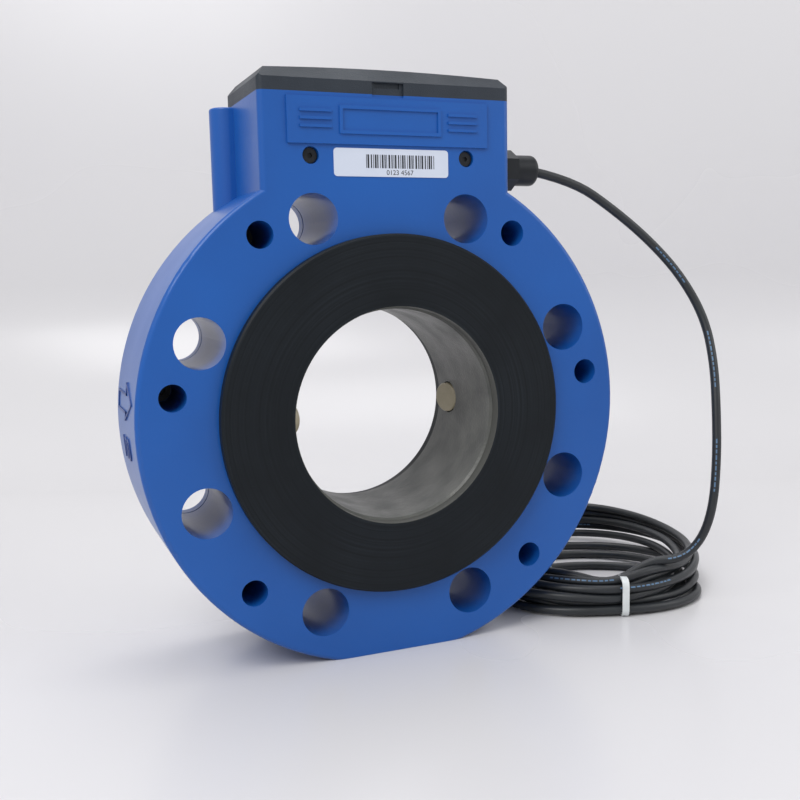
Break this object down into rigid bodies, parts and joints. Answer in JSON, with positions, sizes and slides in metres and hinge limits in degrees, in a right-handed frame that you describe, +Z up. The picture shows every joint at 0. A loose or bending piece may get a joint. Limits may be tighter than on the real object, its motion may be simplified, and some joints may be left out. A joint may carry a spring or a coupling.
{
  "type": "ultrasonic water meter",
  "caption": "Wafer ultrasonic water meter for a nominal 100 pipe: blue flange body, black raised faces, hinged lid over a display, gland and coiled signal cable.",
  "frame": {"origin": "centre of the flange bolt circle, on the painted outlet side of the body", "axes": "+Z up through the electronics housing, +Y upstream along the pipe, +X to the right seen from the outlet side"},
  "size_m": [0.3127, 0.1709, 0.2499],
  "materials": {
    "painted_body": "smooth blue paint, semi-gloss",
    "rear_paint": "smooth blue paint, semi-gloss",
    "face_black": "turned black plastic with fine rings",
    "tube_grey": "grey moulded lining, satin",
    "lid_grey": "dark grey moulded plastic, fine texture",
    "gland_black": "black nylon, semi-gloss",
    "cable_black": "black sheath, semi-gloss",
    "sensor_beige": "beige sensor face, satin",
    "seal_black": "black seal, matt",
    "steel": "plain steel",
    "board_green": "green laminate with solder mask",
    "display_grey": "grey-green display glass",
    "window_clear": "clear window",
    "terminal_green": "green moulded terminal",
    "cell_wrap": "shrink sleeve",
    "brass": "turned brass",
    "tie_white": "natural white nylon",
    "label_white": "white printed label",
    "wire_colours": "coloured wire insulation"
  },
  "bodies": {
    "root": {"body_casting": "painted_body", "rear_cover": "rear_paint", "cover_seal": "seal_black", "measuring_tube": "tube_grey", "tube_seals": "seal_black", "inlet_ring": "face_black", "outlet_ring": "face_black", "upstream_transducer": "sensor_beige", "downstream_transducer": "sensor_beige", "transducer_seals": "seal_black", "transducer_nuts": "brass", "upstream_lead": "cable_black", "downstream_lead": "cable_black", "housing_screws": "steel", "box_screws": "steel", "board_carrier": "steel", "circuit_board": "board_green", "board_screws": "steel", "lcd_panel": "display_grey", "terminal_block": "terminal_green", "battery_cells": "cell_wrap", "battery_cradle": "seal_black", "bezel_seal": "seal_black", "display_bezel": "lid_grey", "display_window": "window_clear", "bezel_screws": "steel", "lid_seal": "seal_black", "hinge_pins": "steel", "gland_body": "gland_black", "gland_locknut": "gland_black", "gland_nut": "gland_black", "gland_seal": "seal_black", "cable_inside": "cable_black", "inside_cores": "wire_colours", "cable_lead": "cable_black", "cable_coil": "cable_black", "cable_tie": "tie_white", "cable_tail": "cable_black", "tail_cores": "wire_colours", "number_label": "label_white"},
    "lid": {"lid": "lid_grey"}
  },
  "joints": [
    {"name": "lid_hinge", "type": "hinge", "parent": "root", "child": "lid", "pos_m": [0, 0.0592, 0.1346], "axis": [-1, 0, 0], "range_deg": [0, 105]}
  ]
}
